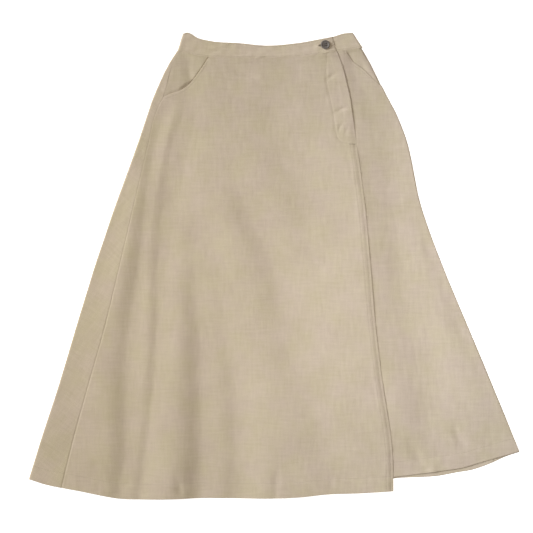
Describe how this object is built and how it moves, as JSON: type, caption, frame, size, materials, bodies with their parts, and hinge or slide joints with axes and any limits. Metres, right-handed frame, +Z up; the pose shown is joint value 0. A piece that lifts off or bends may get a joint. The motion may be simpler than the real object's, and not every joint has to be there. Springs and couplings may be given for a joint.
{
  "type": "wrap skirt",
  "caption": "Long flared wrap skirt in plain linen, laid flat, with a narrow waistband, a lapped front held by a button, slant hip pockets and a stitched placket.",
  "frame": {"origin": "on the surface the skirt lies on, below the middle of its outline", "axes": "+X across the skirt from its folded left edge to the side where the front laps over, +Y from the hem to the waist, +Z up from the surface"},
  "size_m": [0.9824, 0.9312, 0.0143],
  "materials": {
    "linen": "plain linen weave with fine slubs, matt",
    "button_plastic": "dark grey-brown, satin"
  },
  "bodies": {
    "root": {"back_panel": "linen", "front_overlap": "linen", "front_underlap": "linen", "waistband": "linen", "pocket_left": "linen", "pocket_right": "linen", "placket": "linen", "button": "button_plastic"}
  },
  "joints": []
}
